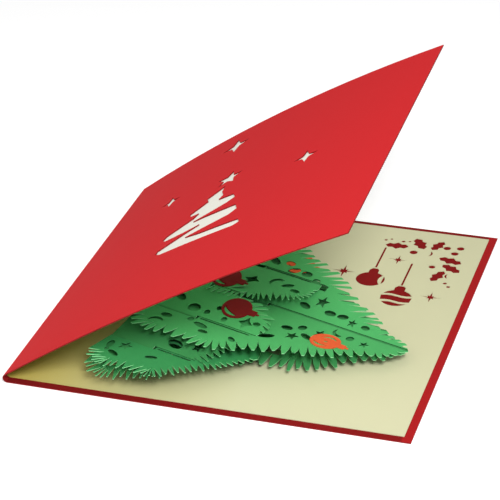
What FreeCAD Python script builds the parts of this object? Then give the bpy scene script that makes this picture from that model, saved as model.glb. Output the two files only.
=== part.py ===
import FreeCAD, Part
import math
import os

# Pop up card, half opened, with a slotted paper tree lying between its panels.
# Units mm. X runs from the fold to the free edge, Y from front to back, Z up.
# The origin lies at the middle of the lower panel's underside. Outlines are drawn from the
# front end of the fold, on the panel's upper face, and HOME carries them to the origin.

os.makedirs("parts", exist_ok=True)
doc = FreeCAD.newDocument("pop_up_card")
V = FreeCAD.Vector

sheet = doc.addObject("Spreadsheet::Sheet", "Dimensions")
DIMENSIONS = [
    ("card_length", 150.0), ("card_depth", 150.0), ("card_thick", 0.4), ("fold_radius", 1.3),
    ("opening_front", 31.5), ("opening_back", 32.8), ("bow_front", 3.0), ("bow_back", 4.0),
    ("glue_gap", 0.03),
    ("insert_thick", 0.25), ("edge_margin", 3.0), ("front_margin", 3.0), ("back_margin", 2.5),
    ("tree_thick", 0.25), ("tree_lean", 7.5), ("tree_height", 118.0), ("tree_rise", 2.8),
    ("tree_turn", 14.3), ("foot_x", 23.0), ("foot_y", 78.5), ("foot_z", 10.56),
    ("falling_front", -22.0), ("falling_back", 19.0), ("rising_front", -27.0), ("rising_back", 24.0),
    ("slot_play", 0.2), ("slot_end_play", 1.0), ("trunk_foot", 2.0), ("branch_foot", 23.0),
    ("trunk_half", 7.0), ("bauble_radius", 5.7), ("bauble_thick", 0.3), ("bauble_gap", 0.03),
    ("tie_width", 9.0), ("tie_thick", 0.3),
]
for row, (alias, value) in enumerate(DIMENSIONS, start=1):
    sheet.set("A%d" % row, alias)
    sheet.set("B%d" % row, repr(value))
    sheet.setAlias("B%d" % row, alias)
doc.recompute()


def dim(alias):
    return float(sheet.get(alias))


# sizes that the outlines below are drawn for; a changed card or tree moves them along
DRAWN_CARD, DRAWN_TREE = 150.0, 118.0
HOME = V(-dim("card_length") / 2, -dim("card_depth") / 2, dim("card_thick"))


def moved(placement):
    return FreeCAD.Placement(HOME, FreeCAD.Rotation()).multiply(placement)


def bind(obj, prop, expression):
    obj.setExpression(prop, expression)


def sketch(name, placement, geometry):
    item = doc.addObject("Sketcher::SketchObject", name)
    item.Placement = moved(placement)
    item.addGeometry(geometry, False)
    return item


def closed(points):
    ring = [V(p[0], p[1], 0) for p in points]
    return [Part.LineSegment(a, b) for a, b in zip(ring, ring[1:] + ring[:1])]


def extrude(name, profile, normal, length, symmetric=False):
    item = doc.addObject("Part::Extrusion", name)
    item.Base = profile
    item.DirMode = "Custom"
    item.Dir = normal
    item.Solid = True
    item.Symmetric = symmetric
    item.FaceMakerClass = "Part::FaceMakerBullseye"
    bind(item, "LengthFwd", length)
    return item


def boolean(kind, name, base, tool):
    item = doc.addObject("Part::" + kind, name)
    item.Base = base
    item.Tool = tool
    return item


# Folded sheets: lower panel, rounded fold and bowed upper panel

def rim(angle, bow, inset, reach, thick):
    """Side outline of a folded sheet; inset is its distance inside the outer face."""
    full, radius = dim("card_length"), dim("fold_radius") + dim("card_thick")
    centre = V(radius, dim("fold_radius"), 0)
    chord = math.radians(angle)
    end = V(full * math.cos(chord), full * math.sin(chord), 0)
    half = 4 * bow / full
    for _ in range(60):
        start = centre + V(-math.sin(chord + half), math.cos(chord + half), 0) * radius
        chord = math.atan2(end.y - start.y, end.x - start.x)
        length = (end - start).Length
        bend = (length ** 2 / 4 + bow ** 2) / (2 * bow)
        half = math.asin(length / 2 / bend)
    hub = (start + end) * 0.5 - V(-math.sin(chord), math.cos(chord), 0) * (bend - bow)
    share = reach / full

    def on_bow(radius_now, part):
        turn = math.pi / 2 + chord + half * (1 - 2 * part)
        return hub + V(math.cos(turn), math.sin(turn), 0) * radius_now

    def on_fold(radius_now, turn):
        return centre + V(math.cos(turn), math.sin(turn), 0) * radius_now

    first = math.pi / 2 + chord + half
    middle = (first + 1.5 * math.pi) / 2
    outer, inner = inset, inset + thick
    floor = dim("fold_radius") - radius
    a = [V(reach, floor + outer, 0), V(centre.x, floor + outer, 0)]
    b = [V(centre.x, floor + inner, 0), V(reach, floor + inner, 0)]
    return [
        Part.LineSegment(a[0], a[1]),
        Part.Arc(a[1], on_fold(radius - outer, middle), on_fold(radius - outer, first)),
        Part.Arc(on_bow(bend - outer, 0), on_bow(bend - outer, share / 2), on_bow(bend - outer, share)),
        Part.LineSegment(on_bow(bend - outer, share), on_bow(bend - inner, share)),
        Part.Arc(on_bow(bend - inner, share), on_bow(bend - inner, share / 2), on_bow(bend - inner, 0)),
        Part.Arc(on_fold(radius - inner, first), on_fold(radius - inner, middle), b[0]),
        Part.LineSegment(b[0], b[1]),
        Part.LineSegment(b[1], a[0]),
    ], (hub, bend)


def folded(name, inset, reach, thick):
    outlines = []
    for end, place in (("front", 0.0), ("back", dim("card_depth"))):
        geometry, _ = rim(dim("opening_" + end), dim("bow_" + end), inset, reach, thick)
        at = FreeCAD.Placement(V(0, place, 0), FreeCAD.Rotation(V(1, 0, 0), 90))
        outlines.append(sketch("%s_%s_rim" % (name, end), at, geometry))
    item = doc.addObject("Part::Loft", name + "_fold")
    item.Sections = outlines
    item.Solid = True
    item.Ruled = True
    return item


def cover_height(x, y, inset):
    """Height of the face that lies inset below the cover's outer face."""
    heights = []
    for end in ("front", "back"):
        _, (hub, bend) = rim(dim("opening_" + end), dim("bow_" + end), 0, dim("card_length"), 0.1)
        heights.append(hub.y + math.sqrt((bend - inset) ** 2 - (x - hub.x) ** 2))
    share = y / dim("card_depth")
    return heights[0] * (1 - share) + heights[1] * share


# Cut-out shapes, each a closed outline round a centre

def star(x, y, radius, inner=0.42, points=5, turn=90.0):
    ring = []
    for k in range(2 * points):
        angle = math.radians(turn + 180.0 * k / points)
        size = radius if k % 2 == 0 else radius * inner
        ring.append((x + size * math.cos(angle), y + size * math.sin(angle)))
    return closed(ring)


def sparkle(x, y, across, along, short, turn=0.0):
    """Eight thin arms: two long pairs and short diagonals."""
    reach = [across, short, along, short] * 2
    waist = 0.13 * (across + along)
    ring = []
    for k in range(16):
        size = reach[k // 2] if k % 2 == 0 else waist
        angle = math.radians(turn + 22.5 * k)
        ring.append((x + size * math.cos(angle), y + size * math.sin(angle)))
    return closed(ring)


def ellipse(x, y, major, minor, turn=0.0):
    c, s = math.cos(math.radians(turn)), math.sin(math.radians(turn))
    if major <= minor:
        return [Part.Circle(V(x, y, 0), V(0, 0, 1), major)]
    return [Part.Ellipse(V(x + major * c, y + major * s, 0), V(x - minor * s, y + minor * c, 0), V(x, y, 0))]


def bar(x0, y0, x1, y1, width):
    run = math.hypot(x1 - x0, y1 - y0)
    nx, ny = -(y1 - y0) / run * width / 2, (x1 - x0) / run * width / 2
    return closed([(x0 + nx, y0 + ny), (x1 + nx, y1 + ny), (x1 - nx, y1 - ny), (x0 - nx, y0 - ny)])


def crescent(x, y, radius, thick, start, end):
    """Moon shape between two arcs that meet at both horns."""
    def at(angle, r):
        a = math.radians(angle)
        return V(x + r * math.cos(a), y + r * math.sin(a), 0)
    middle = (start + end) / 2
    horns = at(start, radius), at(end, radius)
    return [Part.Arc(horns[0], at(middle, radius), horns[1]),
            Part.Arc(horns[1], at(middle, radius - thick), horns[0])]


def capped_ball(x, y, radius, cap, thick, start, end):
    """Ball with its cap, open at one side towards a crescent that is left standing."""
    def at(angle, r=radius):
        a = math.radians(angle)
        return V(x + r * math.cos(a), y + r * math.sin(a), 0)
    half = math.degrees(math.asin(cap / radius))
    neck = [at(90 - half), V(x + cap, y + radius + 1.8, 0), V(x + cap / 2, y + radius + 3.2, 0),
            V(x - cap / 2, y + radius + 3.2, 0), V(x - cap, y + radius + 1.8, 0), at(90 + half)]
    sides = [Part.LineSegment(a, b) for a, b in zip(neck, neck[1:])]
    return ([Part.Arc(at(start), at((start + 90 - half) / 2), neck[0])] + sides
            + [Part.Arc(neck[-1], at((end + 90 + half) / 2), at(end)),
               Part.Arc(at(end), at((start + end) / 2, radius - thick), at(start))])


def holly(x0, y0, x1, y1, width, spikes=3):
    """Leaf with pointed lobes between a stem end and a tip."""
    run = math.hypot(x1 - x0, y1 - y0)
    tx, ty = (x1 - x0) / run, (y1 - y0) / run
    sides = []
    for side in (1, -1):
        edge = []
        for k in range(2 * spikes - 1):
            along = run * (k + 1) / (2 * spikes)
            bulge = width * 0.6 * math.sin(math.pi * (k + 1) / (2 * spikes)) ** 0.6
            out = side * (bulge if k % 2 == 0 else bulge * 0.6)
            edge.append((x0 + tx * along - ty * out, y0 + ty * along + tx * out))
        sides.append(edge)
    return closed([(x0, y0)] + sides[0] + [(x1, y1)] + sides[1][::-1])


def band(x, y, radius, low, high, wave=0.5, steps=6, cap=0.0):
    """Slice of a disc between two waved lines; a bound outside the disc leaves its arc."""
    def line(level):
        half = math.sqrt(radius ** 2 - level ** 2)
        return [(x - half + 2 * half * k / steps,
                 y + level + wave * math.sin(2 * math.pi * k / steps)) for k in range(steps + 1)]

    def arc(start, end):
        return [(x + radius * math.cos(start + (end - start) * k / steps),
                 y + radius * math.sin(start + (end - start) * k / steps)) for k in range(1, steps)]
    if low is None:
        top = line(high)
        turn = math.asin(high / radius)
        return closed(top + arc(turn, -math.pi - turn))
    if high is None:
        base = line(low)
        turn = math.asin(low / radius)
        crown = arc(turn, math.pi - turn)
        if cap:
            grip = math.sqrt(radius ** 2 - cap ** 2)
            crown[2:3] = [(x + cap, y + grip), (x + cap, y + radius + 1.8), (x + cap / 2, y + radius + 3.1),
                          (x - cap / 2, y + radius + 3.1), (x - cap, y + radius + 1.8), (x - cap, y + grip)]
        return closed(base + crown)
    return closed(line(low) + line(high)[::-1])


# Outer card

PANEL = dim("card_thick")
card_fold = folded("outer", 0.0, dim("card_length"), PANEL)
lift = math.radians((dim("opening_front") + dim("opening_back")) / 2)
cover_frame = FreeCAD.Placement(V(0, 0, 0), FreeCAD.Rotation(V(0, 1, 0), -math.degrees(lift)))
cover_frame = cover_frame.multiply(FreeCAD.Placement(
    V((dim("card_length") - DRAWN_CARD) / 2, (dim("card_depth") - DRAWN_CARD) / 2, 0), FreeCAD.Rotation()))
SCRIBBLE = [
    (69.4, 90.5), (62.8, 85), (64.4, 81.7), (57.8, 76.1), (59.4, 73.3), (63.3, 73.0), (61.7, 70), (51.7, 63.9),
    (50.6, 61.1), (52.8, 59.2), (61.7, 59.4), (68.3, 60.6), (63.9, 58.4), (52.2, 51.9), (52.2, 49.2), (55, 47.4),
    (89.4, 44.2), (91.7, 45.6), (90, 48.9), (71.7, 51.3), (64.5, 53.4), (71.7, 55), (82.8, 57.2), (85.6, 60),
    (83.3, 65), (68.3, 66.3), (63.2, 66.4), (70.6, 68.7), (77.2, 71.1), (80, 73.5), (77.8, 77.4), (70.6, 78.5),
    (71.7, 81.3), (69.6, 85.6),
]
cover_holes = closed(SCRIBBLE) + star(68.5, 97.5, 6.2)
for x, y, size in ((58.3, 134.5, 6.6), (36.7, 104.5, 4.8), (108.0, 84.5, 5.2)):
    cover_holes += star(x, y, size, 0.36, 4, 100)
cover_sketch = sketch("cover_cut_outline", cover_frame, cover_holes)
cover_tool = extrude("cover_cut", cover_sketch, cover_frame.Rotation.multVec(V(0, 0, 1)),
                     "Dimensions.card_thick * 50", True)
outer_card = boolean("Cut", "outer_card", card_fold, cover_tool)

# Insert, lying on the inner faces

insert_fold = folded("insert", PANEL + dim("glue_gap"), dim("card_length") - dim("edge_margin"),
                     dim("insert_thick"))
keep = doc.addObject("Part::Box", "insert_extent")
keep.Placement = moved(FreeCAD.Placement(V(-10, 0, -10), FreeCAD.Rotation()))
bind(keep, "Placement.Base.y", "Dimensions.front_margin - Dimensions.card_depth / 2")
bind(keep, "Length", "Dimensions.card_length + 30")
bind(keep, "Width", "Dimensions.card_depth - Dimensions.back_margin - Dimensions.front_margin")
bind(keep, "Height", "Dimensions.card_length + 30")
insert_trim = boolean("Common", "insert_trimmed", insert_fold, keep)

holes = []
# plain bauble: cord, cap, ball with a moon-shaped highlight left standing
holes += bar(109, 131, 109, 114.2, 0.8) + capped_ball(109, 105, 5.5, 1.9, 8.6, 38, 322)
holes += crescent(109, 105, 5.7, 1.0, -32, 32)
# striped bauble
holes += bar(122, 121, 122, 103, 0.8)
holes += band(122, 93.4, 6.2, 2.3, None, cap=2.1) + band(122, 93.4, 6.2, -2.4, 1.3) + band(122, 93.4, 6.2, None, -3.5)
holes += sparkle(97.6, 108.5, 5.3, 5.0, 2.4) + sparkle(116, 122.4, 4.2, 3.8, 1.9) + sparkle(134.6, 97.2, 4.6, 3.9, 2.1)
for leaf in ((108, 133.4, 117.6, 133.6, 4.6), (119, 141.2, 123.8, 133.2, 4.8), (130.2, 141.2, 127.0, 133.4, 4.2),
             (131, 128.2, 140.6, 125.2, 4.6), (133.6, 123.2, 141.2, 118.2, 4.4), (135.2, 118.2, 132, 109.2, 4.2)):
    holes += holly(*leaf)
for x, y, size in ((107.5, 137.0, 0.7), (109.6, 138.2, 0.6), (114.5, 137.4, 0.8), (117.0, 138.0, 0.6),
                   (132.5, 136.3, 1.5), (137.7, 137.3, 1.5), (136.3, 132.7, 1.5), (137.6, 108.9, 0.8),
                   (139.4, 106.6, 0.8), (120.4, 129.8, 1.6), (130.0, 120.2, 1.3)):
    holes += ellipse(x, y, size, size)
holes += crescent(125.6, 130.2, 2.4, 0.8, -70, 60) + crescent(138.4, 114.6, 2.2, 0.8, 120, 250)
free_corner = V(dim("card_length") - dim("edge_margin") + 3 - DRAWN_CARD,
                dim("card_depth") - dim("back_margin") + 2.5 - DRAWN_CARD, -0.2)
insert_sketch = sketch("insert_cut_outline", FreeCAD.Placement(free_corner, FreeCAD.Rotation()), holes)
insert_tool = extrude("insert_cut", insert_sketch, V(0, 0, 1), "Dimensions.insert_thick * 8")
insert = boolean("Cut", "insert", insert_trim, insert_tool)

# Tree frame: tip, run along the trunk, two leaning sheet directions

turn, rise = math.radians(dim("tree_turn")), math.radians(dim("tree_rise"))
lean = math.radians(dim("tree_lean"))
up_tree = V(math.cos(rise) * math.cos(turn), -math.cos(rise) * math.sin(turn), -math.sin(rise))
level = V(math.sin(turn), math.cos(turn), 0)
above = up_tree.cross(level)
foot = V(dim("foot_x"), dim("foot_y"), dim("foot_z"))
ACROSS = {"rising": level * math.cos(lean) + above * math.sin(lean),
          "falling": level * math.cos(lean) - above * math.sin(lean)}
OTHER = {"rising": "falling", "falling": "rising"}


def offset(family, rank):
    if rank == 0:
        return 0.0
    return dim("%s_%s" % (family, "front" if rank < 0 else "back"))


def tree_frame(family, rank, lift_by=0.0):
    across = ACROSS[family]
    normal = up_tree.cross(across)
    origin = foot + ACROSS[OTHER[family]] * offset(family, rank) + normal * lift_by
    matrix = FreeCAD.Matrix(up_tree.x, across.x, normal.x, origin.x,
                            up_tree.y, across.y, normal.y, origin.y,
                            up_tree.z, across.z, normal.z, origin.z, 0, 0, 0, 1)
    return FreeCAD.Placement(matrix), normal


def walk(path, distance):
    """Point at a distance along an open line."""
    distance = max(0.0, distance)
    for (ax, ay), (bx, by) in zip(path, path[1:]):
        run = math.hypot(bx - ax, by - ay)
        if distance <= run or (bx, by) == path[-1]:
            share = min(1.0, distance / run)
            return ax + (bx - ax) * share, ay + (by - ay) * share
        distance -= run


def eased(path, distance, total):
    """Point and direction on the line with its corners eased."""
    distance = min(max(distance, 0.2), total - 0.2)
    window = min(4.0, distance, total - distance)
    spots = [walk(path, distance + window * k / 3) for k in range(-3, 4)]
    x, y = sum(p[0] for p in spots) / 7, sum(p[1] for p in spots) / 7
    dx, dy = spots[-1][0] - spots[0][0], spots[-1][1] - spots[0][1]
    run = math.hypot(dx, dy)
    return x, y, dx / run, dy / run


def fringe(path, outward, pitch, depth, shift, bulge, blunt):
    """Needles between root points inside the path and tips that reach it.

    outward is +1 left of the walking direction, -1 right of it; shift moves the
    tips towards the path's end, in parts of the depth.
    """
    total = sum(math.hypot(b[0] - a[0], b[1] - a[1]) for a, b in zip(path, path[1:]))
    count = max(2, int(total / pitch))
    step = total / count

    def inside(distance, deep):
        x, y, dx, dy = eased(path, distance, total)
        return x + dy * outward * deep, y - dx * outward * deep, dx, dy
    roots, tips = [], []
    for k in range(count + 1):
        deep = depth * min(1.0, 0.2 + (total - k * step) / (5.0 * depth))
        roots.append(inside((k + 0.09 * math.sin(5.3 * k)) * step, deep * (1 + 0.14 * math.sin(2.4 * k + depth))))
        x, y, dx, dy = inside((k + 0.5) * step, 0.13 * deep * (1 + math.sin(3.7 * k + 1)))
        tips.append((x + dx * shift * deep, y + dy * shift * deep, dx, dy))
    ring = []
    for k in range(count):
        left, right, tip = roots[k], roots[k + 1], tips[k]
        room, end = bulge * step, blunt * step
        tx, ty = tip[2], tip[3]
        ring.append(left[:2])
        ring.append(((left[0] + tip[0]) / 2 - tx * room, (left[1] + tip[1]) / 2 - ty * room))
        ring += [(tip[0] - tx * end, tip[1] - ty * end), (tip[0] + tx * end, tip[1] + ty * end)]
        if k < count - 1:
            ring.append(((right[0] + tip[0]) / 2 + tx * room, (right[1] + tip[1]) / 2 + ty * room))
    return ring


# height at which each crossing ends, by rising rank and falling rank
CROSS_TOP = {(-1, -1): 60.0, (-1, 0): 68.0, (-1, 1): 57.0, (0, -1): 72.0, (0, 0): 118.0, (0, 1): 70.0,
             (1, 0): 69.0, (1, 1): 50.0}


def tree_sheet(name, family, rank, front, back, front_style, back_style, *cuts):
    """Front and back lines run from the foot end to the tip end, given as height and offset."""
    place, normal = tree_frame(family, rank)
    low, trunk = dim("branch_foot"), dim("trunk_foot")
    grow = dim("tree_height") / DRAWN_TREE
    front, back = ([(h * grow, b) for h, b in line] for line in (front, back))
    cuts = sum((shape(h * grow, *rest) for shape, h, *rest in cuts), [])
    outline = fringe(front, -1, *front_style)
    outline.append(front[-1])
    outline += fringe(back, 1, *back_style)[::-1]
    outline.append((low, back[0][1] - 2.5))
    if rank == 0:
        half = dim("trunk_half")
        outline += [(low, half), (trunk, half * 0.8), (trunk, -half * 0.8), (low, -half)]
    outline.append((low, front[0][1] + 2.5))
    profile = sketch(name + "_outline", place, closed(outline) + cuts)
    body = extrude(name + "_sheet", profile, normal, "Dimensions.tree_thick", True)
    slots = []
    for other in (-1, 0, 1):
        pair = (rank, other) if family == "rising" else (other, rank)
        if pair not in CROSS_TOP:
            continue
        top = CROSS_TOP[pair] * grow
        bottom = trunk if pair == (0, 0) else low
        middle = (top + bottom) / 2
        box = doc.addObject("Part::Box", "%s_slot_%d" % (name, other + 1))
        start = middle - dim("slot_end_play") if family == "rising" else -10.0
        beyond = 20.0 if pair == (0, 0) else dim("slot_end_play") * 3
        end = top + beyond if family == "rising" else middle
        bind(box, "Width", "Dimensions.tree_thick * (1 / sin(2 * Dimensions.tree_lean * 1 deg)"
             " + 1 / tan(2 * Dimensions.tree_lean * 1 deg)) + Dimensions.slot_play")
        box.Length = end - start
        bind(box, "Height", "Dimensions.tree_thick * 8")
        wide = dim("tree_thick") * (1 / math.sin(2 * lean) + 1 / math.tan(2 * lean)) + dim("slot_play")
        corner = V(start, offset(OTHER[family], other) - wide / 2, -dim("tree_thick") * 4)
        box.Placement = moved(place.multiply(FreeCAD.Placement(corner, FreeCAD.Rotation())))
        slots.append(box)
    tool = doc.addObject("Part::MultiFuse", name + "_slots")
    tool.Shapes = slots
    slotted = boolean("Cut", name + "_slotted", body, tool)
    doc.recompute()
    # needle ends that a slot cuts off where it runs out through the fringe are not kept
    kept = doc.addObject("Part::Feature", name)
    kept.Shape = max(slotted.Shape.Solids, key=lambda solid: solid.Volume)
    print(name, "kept", round(kept.Shape.Volume / slotted.Shape.Volume, 3))
    return kept


# pitch, depth, shift of the tips, bulge of the sides, half width of the blunt end
NEEDLES = (2.3, 6.0, -0.15, 0.04, 0.1)
LEAVES = (3.5, 7.2, -0.05, 0.14, 0.14)
BACK_NEEDLES = (3.5, 6.8, 0.62, 0.08, 0.2)

tree = [
    tree_sheet("falling_front_sheet", "falling", -1,
               [(23, -45), (30, -51), (36, -50.5), (41, -47.5), (52, -47.8), (58, -39), (68, -24.5), (74, -10)],
               [(24, 21), (40, 20.5), (52, 18), (62, 12), (71, 2)], NEEDLES, NEEDLES,
               (ellipse, 27.0, -34.6, 2.0, 1.0, -70), (ellipse, 31.6, -39.8, 2.2, 0.9, -20),
               (star, 32.0, -32.4, 2.2), (ellipse, 28.0, -38.4, 0.7, 0.7), (ellipse, 46.5, -22.6, 3.2, 1.9, -20),
               (star, 54.0, -18.4, 2.1), (ellipse, 44.0, -34.0, 1.8, 0.8, 20), (ellipse, 58.0, -8.0, 1.6, 0.8)),
    tree_sheet("falling_middle_sheet", "falling", 0,
               [(25, -44), (31, -47.5), (36, -48.5), (42, -46.5), (47, -45.5), (53, -47), (60, -47), (66, -43.5),
                (71, -39), (76, -36), (81, -32.5), (87, -30), (93, -27), (98, -23.5), (104, -17), (109, -12.5),
                (114, -10.5), (118, 0)],
               [(24, 44), (40, 43), (52, 39), (66, 33), (78, 27), (90, 20), (100, 13), (110, 6), (117.5, 1)],
               LEAVES, BACK_NEEDLES,
               (crescent, 34.6, -38.6, 2.2, 1.1, 20, 200), (ellipse, 35.4, -32.6, 1.8, 1.1), (ellipse, 49.4, -31.6, 2.6, 1.0, -12),
               (ellipse, 52.7, -35.4, 1.6, 0.8), (ellipse, 72.0, -23.0, 2.4, 1.1, 30), (ellipse, 74.6, -12.3, 1.8, 1.2),
               (ellipse, 83.6, -14.1, 2.2, 1.0, -20), (star, 79.3, -17.0, 2.2), (star, 86.4, -8.6, 2.1),
               (star, 103.0, -5.9, 1.6), (ellipse, 79.0, -8.6, 1.3, 1.3), (ellipse, 96.8, -5.0, 1.2, 1.2),
               (crescent, 91.6, -3.6, 2.2, 1.0, 140, 320), (ellipse, 44.0, -29.6, 1.0, 1.0),
               (ellipse, 64.0, -34.0, 1.6, 0.8, -30)),
    tree_sheet("falling_back_sheet", "falling", 1,
               [(24, -36), (36, -33.5), (44, -31.5), (50, -31), (55, -28.5), (60, -26.5), (64, -21.5), (69, -19),
                (73, -13), (72, -3)],
               [(27, 42.5), (40, 36), (50, 26), (58, 18), (66, 9), (71, 1)], NEEDLES, BACK_NEEDLES,
               (star, 48.4, -12.6, 2.6, 0.5, 4), (crescent, 57.0, -8.4, 2.4, 1.2, 60, 240), (ellipse, 61.6, -8.6, 1.9, 1.0, 40),
               (ellipse, 66.0, -11.0, 1.6, 0.9), (ellipse, 41.0, -18.0, 1.2, 1.2), (ellipse, 38.0, 10.0, 2.4, 1.2),
               (star, 50.0, 8.0, 2.2), (ellipse, 34.0, -8.0, 2.0, 1.0, 30)),
    tree_sheet("rising_front_sheet", "rising", -1,
               [(24, -43), (32, -46), (50, -37), (57, -29), (63, -18), (69, -2)],
               [(24, 30), (40, 29), (52, 24), (62, 19), (71, 12), (72, 5), (70, 1)], NEEDLES, BACK_NEEDLES,
               (ellipse, 46.4, -16.6, 2.6, 1.4, -10), (star, 54.7, -14.4, 2.0), (ellipse, 41.0, 4.6, 2.0, 1.5),
               (ellipse, 46.6, 4.4, 0.9, 0.9), (ellipse, 49.4, 8.4, 0.8, 0.8), (ellipse, 54.4, 3.6, 0.9, 0.9),
               (star, 62.4, 5.4, 2.4, 0.5, 4), (ellipse, 66.4, 6.6, 1.2, 0.8), (ellipse, 32.0, -36.0, 2.2, 1.0, 30),
               (ellipse, 33.0, 8.0, 2.2, 1.1, -20), (star, 36.0, -10.0, 2.2)),
    tree_sheet("rising_middle_sheet", "rising", 0,
               [(24, -46), (38, -47.5), (52, -43.5), (64, -37), (74, -31.5), (86, -29.5), (97, -23), (105, -13), (113, -9),
                (117.6, -1)],
               [(24, 45), (40, 43.5), (52, 39), (60, 35), (70, 30.5), (78, 27.5), (84, 21), (92, 16),
                (98, 14.5), (103, 8.5), (108, 6), (114, 5), (118, 1.2)], LEAVES, BACK_NEEDLES,
               (ellipse, 71.8, 5.9, 2.0, 1.0, -15), (ellipse, 82.4, 6.1, 1.9, 1.0), (ellipse, 87.6, 6.4, 1.8, 0.9, 10),
               (star, 76.6, 10.6, 2.3), (ellipse, 63.0, 22.6, 1.8, 1.1), (ellipse, 68.2, 20.6, 1.3, 0.8),
               (ellipse, 48.1, 24.4, 2.2, 1.1, -20), (ellipse, 54.2, 25.6, 1.6, 0.9), (ellipse, 57.6, 22.4, 2.0, 1.0, 25),
               (ellipse, 98.0, 4.6, 1.4, 0.8), (star, 92.4, 4.7, 1.6), (ellipse, 36.0, -34.0, 2.2, 1.1),
               (star, 48.0, -32.0, 2.2), (ellipse, 60.0, -25.0, 1.8, 0.9)),
    tree_sheet("rising_back_sheet", "rising", 1,
               [(24, -31), (40, -28), (52, -21), (62, -12), (70, -1)],
               [(30, 38.8), (40, 32), (50, 21), (58, 13), (66, 5.4), (70.6, 1.7)], NEEDLES, BACK_NEEDLES,
               (ellipse, 34.0, -14.0, 2.2, 1.1, 20), (star, 44.0, 10.0, 2.2), (ellipse, 56.0, -6.0, 1.8, 0.9),
               (ellipse, 32.0, 16.0, 2.2, 1.1, -30)),
]

# Baubles: flat discs glued to the sheets, with a cap and a short cord


def bauble(name, family, rank, height, across, cuts, under=False):
    radius, gap = dim("bauble_radius"), dim("tree_thick") / 2 + dim("bauble_gap")
    lift_by = -gap - dim("bauble_thick") if under else gap
    place, normal = tree_frame(family, rank, lift_by)
    cap, neck, cord = radius * 0.26, radius + 2.4, radius + 3.6
    grip = math.sqrt(radius ** 2 - cap ** 2)
    top = [(grip, cap), (radius + 0.7, cap), (neck, cap * 0.9), (neck, 0.35), (cord, 0.35),
           (cord, -0.35), (neck, -0.35), (neck, -cap * 0.9), (radius + 0.7, -cap), (grip, -cap)]
    spots = [V(height + h, across + b, 0) for h, b in top]
    rim_line = [Part.Arc(spots[-1], V(height - radius, across, 0), spots[0])]
    rim_line += [Part.LineSegment(a, b) for a, b in zip(spots, spots[1:])]
    height *= dim("tree_height") / DRAWN_TREE
    for item in cuts:
        item.translate(V(height, across, 0))
    profile = sketch(name + "_outline", place, rim_line + cuts)
    return extrude(name, profile, normal, "Dimensions.bauble_thick")


MOON = (0, 0, 4.6, 1.5)
baubles = [
    bauble("red_bauble_front", "rising", -1, 55.3, 11.2, crescent(*MOON, 190, 300)),
    bauble("red_bauble_inner", "rising", -1, 42.0, 25.4, crescent(*MOON, 190, 300)),
    bauble("orange_bauble_front", "falling", 0, 91.0, -13.0,
           crescent(0.4, 1.0, 3.2, 1.3, 20, 170) + crescent(-0.6, -0.8, 3.4, 1.3, 200, 330) + ellipse(0.2, -0.2, 0.9, 0.6)),
    bauble("orange_bauble_back", "rising", 0, 57.0, 27.4,
           crescent(0.4, 1.0, 3.2, 1.3, 20, 170) + crescent(-0.6, -0.8, 3.4, 1.3, 200, 330), True),
    bauble("red_bauble_back", "falling", 1, 34.0, 16.6, crescent(*MOON, 190, 300)),
]

# Paper ties from the trunk to both panels

half_tie = dim("tie_width") / 2
thick = dim("tie_thick")
grip = foot + up_tree * 6
spread = half_tie * math.sin(lean) + dim("tree_thick") / 2 + 0.32
under = grip.z - spread
floor = dim("insert_thick") + dim("glue_gap") * 2
lower_points = [(grip.x - 3, under), (grip.x + 5, under), (grip.x + 5, under - thick), (grip.x - 1, under - thick),
                (grip.x + 6, floor + thick), (grip.x + 16, floor + thick), (grip.x + 16, floor),
                (grip.x + 5.6, floor), (grip.x - 3, under - thick)]
inset = PANEL + dim("insert_thick") + dim("glue_gap") * 2
over = grip.z + spread
near, far = grip.x + 10, grip.x + 20


def ceiling(x, more=0.0):
    return cover_height(x, grip.y, inset + 0.1) - more


upper_points = [(grip.x - 3, over), (grip.x + 5, over), (near + 0.4, ceiling(near + 0.4, thick * 1.25)),
                (far, ceiling(far, thick * 1.25)), (far, ceiling(far)), (near, ceiling(near)),
                (grip.x + 4.8, over + thick), (grip.x - 3, over + thick)]
ties = []
for name, points in (("lower_tie", lower_points), ("upper_tie", upper_points)):
    place = FreeCAD.Placement(V(0, grip.y + half_tie, 0), FreeCAD.Rotation(V(1, 0, 0), 90))
    ties.append(extrude(name, sketch(name + "_outline", place, closed(points)), V(0, -1, 0), "Dimensions.tie_width"))

# Check and write

doc.recompute()
for item in doc.Objects:
    bad = [state for state in item.State if state in ("Invalid", "Error")]
    if bad:
        raise RuntimeError("%s: %s" % (item.Label, bad))
for item in [outer_card, insert] + tree + baubles + ties:
    if item.Shape.isNull() or not item.Shape.isValid() or not item.Shape.Solids:
        raise RuntimeError("no valid solid: " + item.Label)
    print(item.Label, len(item.Shape.Solids), len(item.Shape.Faces), round(item.Shape.Volume, 1),
          [round(v, 1) for v in (item.Shape.BoundBox.XMin, item.Shape.BoundBox.XMax, item.Shape.BoundBox.YMin,
                                 item.Shape.BoundBox.YMax, item.Shape.BoundBox.ZMin, item.Shape.BoundBox.ZMax)])
    item.Shape.exportStep("parts/%s.step" % item.Label)
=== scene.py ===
import math

import bmesh
import bpy
from mathutils import Matrix, Vector


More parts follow.
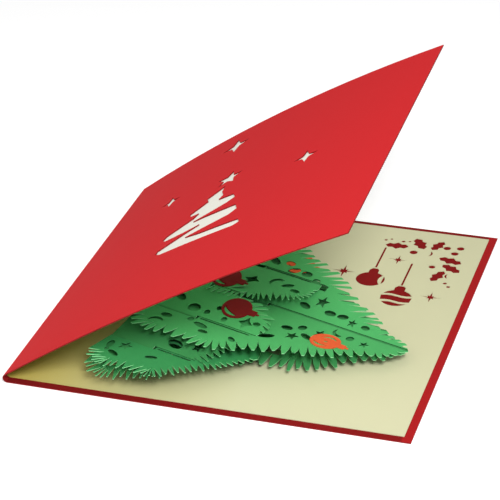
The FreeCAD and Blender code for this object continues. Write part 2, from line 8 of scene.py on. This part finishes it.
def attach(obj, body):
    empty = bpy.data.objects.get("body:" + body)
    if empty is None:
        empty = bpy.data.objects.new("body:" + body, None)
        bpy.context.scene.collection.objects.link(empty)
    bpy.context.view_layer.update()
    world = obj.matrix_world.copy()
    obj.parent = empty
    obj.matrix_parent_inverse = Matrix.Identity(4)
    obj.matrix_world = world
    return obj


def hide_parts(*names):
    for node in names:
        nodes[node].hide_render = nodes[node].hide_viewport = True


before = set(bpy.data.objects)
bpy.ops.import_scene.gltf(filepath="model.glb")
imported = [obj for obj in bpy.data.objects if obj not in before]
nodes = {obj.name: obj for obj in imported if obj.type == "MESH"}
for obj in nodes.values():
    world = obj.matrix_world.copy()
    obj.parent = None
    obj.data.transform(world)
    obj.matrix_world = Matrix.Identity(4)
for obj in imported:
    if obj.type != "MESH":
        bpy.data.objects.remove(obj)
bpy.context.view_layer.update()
scene = bpy.context.scene

MM = 0.001

# Colours are linear RGB.
CARD_RED = (0.70, 0.016, 0.020)
CARD_RED_DARK = (0.47, 0.010, 0.013)
# Painted shade: the inner face is the same red card as the outer one, drawn darker, deepest at
# the spine and less deep at the right border where more light falls.
INNER_RED_PAINTED_SHADE = (0.21, 0.0015, 0.002)
BORDER_RED_PAINTED_SHADE = (0.38, 0.006, 0.008)
SPINE_RED_PAINTED_SHADE = (0.16, 0.002, 0.003)
# Painted shade on card faces not turned up: cut edges, the spine and the cover's inner face.
EDGE_RED_PAINTED_SHADE = (0.22, 0.004, 0.005)
CREAM = (0.61, 0.60, 0.39)
CREAM_DARK = (0.62, 0.58, 0.34)
# Painted shade: the cream turns darker and yellower towards the fold.
CREAM_FOLD_PAINTED_SHADE = (0.46, 0.37, 0.055)
# Painted light: the insert's half beneath the cover is drawn paler than the same cream elsewhere.
CREAM_COVER_PAINTED_LIGHT = (0.95, 0.94, 0.84)
GREEN = (0.075, 0.42, 0.125)
GREEN_DARK = (0.040, 0.27, 0.075)
# Painted shade: a darker copy of the green, with its speck tone, for the front falling sheet,
# which lies low.
GREEN_PAINTED_SHADE = (0.040, 0.285, 0.085)
GREEN_PAINTED_SHADE_DARK = (0.020, 0.17, 0.048)
# Painted highlight: pale green where light catches the sheets' cut edges.
GREEN_RIM_HIGHLIGHT = (0.26, 0.70, 0.32)
# Painted shade: near-black green on the walls of holes, slits and slots, so that they read as
# deep shade.
GREEN_HOLE_PAINTED_SHADE = (0.012, 0.075, 0.028)
GREEN_HOLE_PAINTED_SHADE_DARK = (0.006, 0.04, 0.014)
# Painted shade: share of the green kept on the half of each sheet that runs below its partner.
UNDER_SHADE_SHARE = 0.55
BAUBLE_RED = (0.22, 0.003, 0.005)
BAUBLE_RED_DARK = (0.12, 0.002, 0.003)
BAUBLE_ORANGE = (0.80, 0.12, 0.03)
BAUBLE_ORANGE_DARK = (0.6, 0.07, 0.02)

# Outward direction of the cover's outer face. The cover stands open by about 32 degrees.
COVER_OUT = (-0.53, 0.0, 0.848)
UPWARD = (0, 0, 1)
DOWNWARD = (0, 0, -1)

# Cosines between which a face begins to count, and counts fully, as turned to a direction
COVER_FACING = (0.86, 0.94)
UNDERSIDE_FACING = (0.97, 0.99)
LEVEL_FACING = (0.93, 0.99)
SHEET_FACING = (0.5, 0.8)

# Places in the frame, in metres, between which one tone passes into the next
# Spread of the painted shade towards the spine, and of the lighter painted shade at the right
# border
SPINE_SHADE_FADE = (-0.075, 0.02)
BORDER_SHADE_FADE = (0.0712, 0.0718)
# Spread of the painted shade towards the fold
FOLD_SHADE_FADE = (-0.076, 0.01)
# Heights over which the painted light on the insert's cover half sets in
COVER_LIGHT_FADE = (0.008, 0.012)
# Width of the step into the painted shade on the lower half of a sheet
UNDER_SHADE_FADE = 0.0003

# Paper: clouds, fibre specks and strands, and how far each one shades or lifts the surface
CLOUD_SCALE, CLOUD_DETAIL, CLOUD_RANGE, CLOUD_SHARE = 60.0, 3.0, (0.35, 0.65), 0.12
SPECK_SCALE, SPECK_DETAIL, SPECK_ROUGHNESS, SPECK_START = 2600.0, 2.0, 0.7, 0.45
STRAND_SHARE, STRAND_DETAIL, STRAND_ROUGHNESS, STRAND_RANGE = 0.35, 3.0, 0.6, (0.5, 1.4)
STRAND_STRETCH = (1.0, 6.0, 3.0)
GRAIN_REACH = 0.3
SPECULAR = 0.2
TOOTH, TOOTH_DEPTH = 0.12, 0.00012
CLOUD_LIFT, CLOUD_DEPTH = 1.5, 0.0004

# Tree frame: its foot, the run along the trunk and the two leaning sheet directions
TURN, RISE, LEAN = math.radians(14.3), math.radians(2.8), math.radians(7.5)
UP_TREE = Vector((math.cos(RISE) * math.cos(TURN), -math.cos(RISE) * math.sin(TURN),
                  -math.sin(RISE)))
LEVEL = Vector((math.sin(TURN), math.cos(TURN), 0))
ABOVE = UP_TREE.cross(LEVEL)
FOOT = Vector((-0.052, 0.0035, 0.01096))
ACROSS = {"rising": LEVEL * math.cos(LEAN) + ABOVE * math.sin(LEAN),
          "falling": LEVEL * math.cos(LEAN) - ABOVE * math.sin(LEAN)}
# Each sheet's distance from the trunk, measured across the other family's sheets, in millimetres
OFFSETS = {"falling_front_sheet": -22.0, "falling_middle_sheet": 0.0,
           "falling_back_sheet": 19.0, "rising_front_sheet": -27.0,
           "rising_middle_sheet": 0.0, "rising_back_sheet": 24.0}

# Slits cut here beyond the sheets' own slots: (start height, end height, across), in millimetres.
# The photo shows those in the middle and back sheets. The one in the front sheet isn't in it.
SLITS = {"falling_middle_sheet": (46.4, 67.0, -27.0), "falling_back_sheet": (47.2, 66.4, 0.0),
         "falling_front_sheet": (42.4, 56.0, -27.0)}
SLIT_WIDE = 0.75
# Punched holes grow by these factors along the trunk and across it.
HOLE_GROW = (1.2, 1.55)
CUTTER_REACH = 0.0012
MERGE_DISTANCE = 1e-6
# A rim face within this distance of a slot's line, in metres, and turned across is a slot wall.
SLOT_HALF = 0.0014
SLOT_WALL_FACING = 0.9
SIDE_FACING = 0.5
# Material slot of the painted shade on hole, slit and slot walls
HOLE_SHADE_SLOT = 1

# Stage and lamps
FLOOR_SIZE, FLOOR_HEIGHT = 6.0, -0.0002
FLOOR_TONE, FLOOR_ROUGHNESS, FLOOR_LIFT = (0.9, 0.9, 0.9, 1), 0.9, 0.3
WHITE = (1, 1, 1, 1)
WORLD_STRENGTH = 0.4

# Camera, fitted to the photograph's four card corners from the lower panel's front fold corner
SENSOR_MM, PHOTO_PIXELS, FOCAL_PIXELS = 36.0, 500, 2118.98
CLIP_START, CLIP_END = 0.01, 20.0
CAMERA_RIGHT = Vector((0.955553, 0.294018, -0.021731))
CAMERA_DOWN = Vector((0.124346, -0.468757, -0.874532))
CAMERA_FORWARD = Vector((-0.267314, 0.832959, -0.484482))
PANEL_HALF, CARD_THICK = 0.075, 0.0004
CAMERA_PLACE = Vector((0.282059 - PANEL_HALF, -0.584939 - PANEL_HALF, 0.407358 + CARD_THICK))


def sheet_frame(name):
    """A sheet's origin on its crossing line, its direction across and its normal."""
    family = name.split("_")[0]
    other = ACROSS["falling" if family == "rising" else "rising"]
    return FOOT + other * OFFSETS[name] * MM, ACROSS[family], UP_TREE.cross(ACROSS[family])


class Shader:
    """Short helpers round one material's node tree."""

    def __init__(self, name):
        self.material = bpy.data.materials.new(name)
        self.material.use_nodes = True
        self.tree = self.material.node_tree
        self.bsdf = self.tree.nodes["Principled BSDF"]
        self.coords = self.add("TexCoord").outputs["Object"]
        self.normal = self.add("NewGeometry").outputs["True Normal"]

    def add(self, kind, **values):
        node = self.tree.nodes.new("ShaderNode" + kind)
        for key, value in values.items():
            if hasattr(node, key):
                setattr(node, key, value)
            else:
                node.inputs[key.replace("_", " ")].default_value = value
        return node

    def link(self, source, target):
        self.tree.links.new(source, target)

    def noise(self, scale, detail, rough=0.55, stretch=None):
        coords = self.coords
        if stretch:
            mapping = self.add("Mapping")
            mapping.inputs["Scale"].default_value = stretch
            self.link(coords, mapping.inputs["Vector"])
            coords = mapping.outputs["Vector"]
        node = self.add("TexNoise", Scale=scale, Detail=detail, Roughness=rough)
        self.link(coords, node.inputs["Vector"])
        return node.outputs["Fac"]

    def mix(self, factor, low, high):
        node = self.add("Mix", data_type="RGBA")
        if isinstance(factor, float):
            node.inputs["Factor"].default_value = factor
        else:
            self.link(factor, node.inputs["Factor"])
        # Sockets 6, 7 and the third output are the colour ones of this node.
        for value, socket in ((low, node.inputs[6]), (high, node.inputs[7])):
            if isinstance(value, tuple):
                socket.default_value = (*value, 1.0)
            else:
                self.link(value, socket)
        return node.outputs[2]

    def ramp(self, source, low, high):
        node = self.add("MapRange")
        node.inputs["From Min"].default_value = low
        node.inputs["From Max"].default_value = high
        self.link(source, node.inputs["Value"])
        return node.outputs["Result"]

    def axis(self, name):
        node = self.add("SeparateXYZ")
        self.link(self.coords, node.inputs["Vector"])
        return node.outputs[name]

    def math(self, kind, *sources):
        node = self.add("Math", operation=kind)
        for source, socket in zip(sources, node.inputs):
            self.link(source, socket)
        return node.outputs[0]

    def dot(self, source, direction):
        node = self.add("VectorMath", operation="DOT_PRODUCT")
        self.link(source, node.inputs[0])
        node.inputs[1].default_value = direction
        return node.outputs["Value"]


def paper(sh, light, dark, rough, grain=0.35, edge=None, flat=None):
    """Uncoated paper: cloudy tone, fibre specks, surface tooth, and a painted highlight on its
    cut edges.
    """
    cloud = sh.noise(CLOUD_SCALE, CLOUD_DETAIL)
    speck = sh.noise(SPECK_SCALE, SPECK_DETAIL, SPECK_ROUGHNESS)
    strand = sh.noise(SPECK_SCALE * STRAND_SHARE, STRAND_DETAIL, STRAND_ROUGHNESS, STRAND_STRETCH)
    soft_dark = sh.mix(CLOUD_SHARE, light, dark)
    tone = sh.mix(sh.ramp(cloud, *CLOUD_RANGE), light, soft_dark)
    tone = sh.mix(sh.ramp(speck, SPECK_START - grain * GRAIN_REACH, 1.0), tone, dark)
    tone = sh.mix(sh.ramp(strand, *STRAND_RANGE), tone, dark)
    # Side faces take the painted edge highlight.
    if edge:
        tone = sh.mix(flat, edge, tone)
    sh.link(tone, sh.bsdf.inputs["Base Color"])
    sh.bsdf.inputs["Roughness"].default_value = rough
    sh.bsdf.inputs["Specular IOR Level"].default_value = SPECULAR
    bump = sh.add("Bump", Strength=TOOTH, Distance=TOOTH_DEPTH)
    sh.link(speck, bump.inputs["Height"])
    soft = sh.add("Bump", Strength=TOOTH * CLOUD_LIFT, Distance=CLOUD_DEPTH)
    sh.link(cloud, soft.inputs["Height"])
    sh.link(soft.outputs["Normal"], bump.inputs["Normal"])
    sh.link(bump.outputs["Normal"], sh.bsdf.inputs["Normal"])
    return sh.material


def card_paper():
    """Bright outer faces; a painted shade on the inner face, deepening towards the fold and
    lighter at the right border; a darker painted shade on faces not turned up, such as cut edges.
    """
    sh = Shader("red_card_paper")
    along = sh.axis("X")
    outside = sh.math("MAXIMUM", sh.ramp(sh.dot(sh.normal, COVER_OUT), *COVER_FACING),
                      sh.ramp(sh.dot(sh.normal, DOWNWARD), *UNDERSIDE_FACING))
    # Painted shade on the inner face, darker towards the spine and lighter at the right border
    inner_shade = sh.mix(sh.ramp(along, *SPINE_SHADE_FADE), SPINE_RED_PAINTED_SHADE, INNER_RED_PAINTED_SHADE)
    inner_shade = sh.mix(sh.ramp(along, *BORDER_SHADE_FADE), inner_shade, BORDER_RED_PAINTED_SHADE)
    # Faces not turned up take the painted shade of the edges.
    level = sh.ramp(sh.dot(sh.normal, UPWARD), *LEVEL_FACING)
    inner_shade = sh.mix(level, EDGE_RED_PAINTED_SHADE, inner_shade)
    light = sh.mix(outside, inner_shade, CARD_RED)
    dark = sh.mix(0.75, sh.mix(outside, EDGE_RED_PAINTED_SHADE, CARD_RED_DARK), light)
    return paper(sh, light, dark, rough=0.8, grain=0.4)


def insert_paper():
    """Cream sheet with a painted shade, darker and yellower, running down into the fold, and a
    painted light that makes its cover half paler.
    """
    sh = Shader("cream_paper")
    # Painted shade towards the fold
    light = sh.mix(sh.ramp(sh.axis("X"), *FOLD_SHADE_FADE), CREAM_FOLD_PAINTED_SHADE, CREAM)
    # Painted light on the insert's cover half
    light = sh.mix(sh.ramp(sh.axis("Z"), *COVER_LIGHT_FADE), light, CREAM_COVER_PAINTED_LIGHT)
    dark = sh.mix(0.8, CREAM_DARK, light)
    return paper(sh, light, dark, rough=0.9, grain=0.2)


def sheet_paper(name, light, dark):
    """Green paper with a painted shade on the half of a sheet that runs below its partner."""
    sh = Shader(name + "_green")
    origin, across, _ = sheet_frame(name)
    if name.startswith("rising"):
        across = -across
    middle = across.dot(origin)
    # Painted shade on the half that runs below the partner sheet
    lower_half_shade = sh.ramp(sh.dot(sh.coords, across), middle - UNDER_SHADE_FADE, middle + UNDER_SHADE_FADE)
    light = sh.mix(lower_half_shade, light, tuple(v * UNDER_SHADE_SHARE for v in light))
    dark = sh.mix(0.5, light, dark)
    lie = sh.math("ABSOLUTE", sh.dot(sh.normal, UPWARD))
    return paper(sh, light, dark, rough=0.75, grain=0.4, edge=GREEN_RIM_HIGHLIGHT,
                 flat=sh.ramp(lie, *SHEET_FACING))


red = card_paper()
cream = insert_paper()
green = {name: sheet_paper(name, GREEN, GREEN_DARK)
         for name in OFFSETS if name != "falling_front_sheet"}
# The front falling sheet takes the painted-shade copy of the green.
green["falling_front_sheet"] = sheet_paper("falling_front_sheet", GREEN_PAINTED_SHADE, GREEN_PAINTED_SHADE_DARK)
# Painted shade for the walls of holes, slits and slots
hole_wall_shade = paper(Shader("green_hole_wall_painted_shade"), GREEN_HOLE_PAINTED_SHADE, GREEN_HOLE_PAINTED_SHADE_DARK, rough=0.9)
bauble_red = paper(Shader("bauble_red_paper"), BAUBLE_RED, BAUBLE_RED_DARK, rough=0.6)
bauble_orange = paper(Shader("bauble_orange_paper"), BAUBLE_ORANGE, BAUBLE_ORANGE_DARK, rough=0.6)
tie = paper(Shader("tie_paper"), CREAM, CREAM_DARK, rough=0.9)


def finish_for(name):
    if name == "outer_card":
        return red
    if name == "insert":
        return cream
    if name in green:
        return green[name]
    if name.startswith("red_bauble"):
        return bauble_red
    if name.startswith("orange_bauble"):
        return bauble_orange
    return tie


for name, item in nodes.items():
    item.data.materials.clear()
    item.data.materials.append(finish_for(name))
    for polygon in item.data.polygons:
        polygon.use_smooth = False


def linked(name, data):
    item = bpy.data.objects.new(name, data)
    scene.collection.objects.link(item)
    return item


def as_object(bm, name):
    mesh = bpy.data.meshes.new(name)
    bm.to_mesh(mesh)
    bm.free()
    return linked(name, mesh)


def wall_groups(bm, normal):
    """Runs of joined side walls: one round each hole and one along the outer edge."""
    walls = {face for face in bm.faces if abs(face.normal.dot(normal)) < SIDE_FACING}
    groups = []
    while walls:
        group, queue = [], [walls.pop()]
        while queue:
            face = queue.pop()
            group.append(face)
            for edge in face.edges:
                for near in edge.link_faces:
                    if near in walls:
                        walls.remove(near)
                        queue.append(near)
        groups.append(group)
    return groups


def hole_rings(bm, normal):
    """Top outlines of the holes: every run of side walls but the longest, the outer edge."""
    rings = []
    for group in wall_groups(bm, normal):
        members = set(group)
        follow = {}
        for face in group:
            for edge in face.edges:
                rest = [f for f in edge.link_faces if f not in members]
                if rest and rest[0].normal.dot(normal) > SIDE_FACING:
                    for one, two in (edge.verts, reversed(edge.verts)):
                        follow.setdefault(one, []).append(two)
        if not follow:
            continue
        start = next(iter(follow))
        ring, before, here = [start.co.copy()], None, start
        while True:
            ahead = [v for v in follow[here] if v is not before]
            if not ahead or ahead[0] is start or len(ring) > len(follow):
                break
            before, here = here, ahead[0]
            ring.append(here.co.copy())
        rings.append(ring)
    rings.sort(key=lambda ring: sum((a - b).length for a, b in zip(ring, ring[1:])))
    return rings[:-1]


def prism(bm, ring, normal):
    low = [bm.verts.new(p - normal * CUTTER_REACH) for p in ring]
    high = [bm.verts.new(p + normal * CUTTER_REACH) for p in ring]
    bm.faces.new(low[::-1])
    bm.faces.new(high)
    for k in range(len(ring)):
        j = (k + 1) % len(ring)
        bm.faces.new((low[k], low[j], high[j], high[k]))


def hole_cutter(name, source):
    """One prism for each punched hole, grown about its middle, and one for the slit."""
    origin, across, normal = sheet_frame(name)
    cutter = bmesh.new()
    for ring in hole_rings(source, normal):
        middle = sum(ring, Vector()) / len(ring)
        grown = [middle + UP_TREE * (p - middle).dot(UP_TREE) * HOLE_GROW[0]
                 + across * (p - middle).dot(across) * HOLE_GROW[1] for p in ring]
        prism(cutter, grown, normal)
    if name in SLITS:
        start, end, side = SLITS[name]
        half = SLIT_WIDE / 2
        corners = [(start, side - half), (end, side - half), (end + half, side),
                   (end, side + half), (start, side + half)]
        prism(cutter, [origin + (UP_TREE * h + across * b) * MM for h, b in corners], normal)
    bmesh.ops.recalc_face_normals(cutter, faces=cutter.faces)
    return cutter


def keep_largest(mesh):
    """Bits that two merging holes cut loose are dropped."""
    bm = bmesh.new()
    bm.from_mesh(mesh)
    left, islands = set(bm.verts), []
    while left:
        queue = [left.pop()]
        island = list(queue)
        while queue:
            for edge in queue.pop().link_edges:
                for vert in edge.verts:
                    if vert in left:
                        left.remove(vert)
                        queue.append(vert)
                        island.append(vert)
        islands.append(island)
    islands.sort(key=len)
    for island in islands[:-1]:
        bmesh.ops.delete(bm, geom=island, context="VERTS")
    bm.to_mesh(mesh)
    bm.free()


def paint_wall_shade(mesh, name):
    """Walls of holes, slits and slots get the near-black painted shade. The rest of the outer
    edge keeps the pale painted highlight.
    """
    origin, across, normal = sheet_frame(name)
    bm = bmesh.new()
    bm.from_mesh(mesh)
    bm.normal_update()
    for face in bm.faces:
        face.smooth, face.material_index = False, 0
    *holes, rim = sorted(wall_groups(bm, normal), key=len)
    family = "rising" if name.startswith("falling") else "falling"
    slots = [value * MM for key, value in OFFSETS.items() if key.startswith(family)]
    for face in rim:
        side = (face.calc_center_median() - origin).dot(across)
        at_slot = min(abs(side - slot) for slot in slots) < SLOT_HALF
        if at_slot and abs(face.normal.dot(across)) > SLOT_WALL_FACING:
            face.material_index = HOLE_SHADE_SLOT
    for group in holes:
        for face in group:
            face.material_index = HOLE_SHADE_SLOT
    bm.to_mesh(mesh)
    bm.free()


def opened_sheet(name):
    """The frame's own sheet with its punched holes opened to full width and its slit cut."""
    source = bmesh.new()
    source.from_mesh(nodes[name].data)
    bmesh.ops.remove_doubles(source, verts=source.verts, dist=MERGE_DISTANCE)
    source.normal_update()
    cutter = hole_cutter(name, source)
    sheet = as_object(source, name + "_paper")
    tool = as_object(cutter, name + "_cutter")
    cut = sheet.modifiers.new("cut", "BOOLEAN")
    cut.operation, cut.solver, cut.object, cut.use_self = "DIFFERENCE", "EXACT", tool, True
    bpy.context.view_layer.update()
    evaluated = sheet.evaluated_get(bpy.context.evaluated_depsgraph_get())
    mesh = bpy.data.meshes.new_from_object(evaluated)
    sheet.modifiers.clear()
    sheet.data = mesh
    bpy.data.objects.remove(tool)
    keep_largest(mesh)
    mesh.materials.clear()
    mesh.materials.append(finish_for(name))
    mesh.materials.append(hole_wall_shade)
    paint_wall_shade(mesh, name)
    return sheet


for name in OFFSETS:
    sheet = opened_sheet(name)
    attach(sheet, "root")
    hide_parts(name)


def floor_material():
    """Pale floor, lifted to white where the camera or a glossy reflection sees it."""
    floor = bpy.data.materials.new("pale_floor")
    floor.use_nodes = True
    shade = floor.node_tree.nodes["Principled BSDF"]
    shade.inputs["Base Color"].default_value = FLOOR_TONE
    shade.inputs["Roughness"].default_value = FLOOR_ROUGHNESS
    shade.inputs["Specular IOR Level"].default_value = 0.0
    links = floor.node_tree.links
    path = floor.node_tree.nodes.new("ShaderNodeLightPath")
    seen = floor.node_tree.nodes.new("ShaderNodeMath")
    seen.operation = "MAXIMUM"
    links.new(path.outputs["Is Camera Ray"], seen.inputs[0])
    links.new(path.outputs["Is Glossy Ray"], seen.inputs[1])
    lift = floor.node_tree.nodes.new("ShaderNodeMath")
    lift.operation = "MULTIPLY"
    links.new(seen.outputs[0], lift.inputs[0])
    lift.inputs[1].default_value = FLOOR_LIFT
    shade.inputs["Emission Color"].default_value = WHITE
    links.new(lift.outputs[0], shade.inputs["Emission Strength"])
    return floor


def floor_plane(name, size, height, material):
    half = size / 2
    mesh = bpy.data.meshes.new(name)
    corners = [(-half, -half, 0), (half, -half, 0), (half, half, 0), (-half, half, 0)]
    mesh.from_pydata(corners, [], [(0, 1, 2, 3)])
    item = linked(name, mesh)
    item.location = (0, 0, height)
    item.data.materials.append(material)


def area_light(name, location, target, size, energy):
    data = bpy.data.lights.new(name, "AREA")
    data.shape = "DISK"
    data.size = size
    data.energy = energy
    item = linked(name, data)
    item.location = location
    aim = Vector(target) - Vector(location)
    item.rotation_euler = aim.to_track_quat("-Z", "Y").to_euler()


floor_plane("floor", FLOOR_SIZE, FLOOR_HEIGHT, floor_material())

world = bpy.data.worlds.new("studio")
world.use_nodes = True
world.node_tree.nodes["Background"].inputs["Color"].default_value = WHITE
world.node_tree.nodes["Background"].inputs["Strength"].default_value = WORLD_STRENGTH
scene.world = world

area_light("key", (0.34, -0.56, 0.66), target=(0.03, 0, 0), size=0.3, energy=7.5)
area_light("fill", (-0.5, -0.6, 0.6), target=(0, 0, 0.02), size=0.8, energy=1.7)

data = bpy.data.cameras.new("camera")
data.sensor_width = SENSOR_MM
data.lens = FOCAL_PIXELS / PHOTO_PIXELS * SENSOR_MM
data.clip_start, data.clip_end = CLIP_START, CLIP_END
camera = linked("camera", data)
turn = Matrix((CAMERA_RIGHT, -CAMERA_DOWN, -CAMERA_FORWARD)).transposed().to_4x4()
camera.matrix_world = Matrix.Translation(CAMERA_PLACE) @ turn
scene.camera = camera
scene.view_settings.view_transform = "Standard"
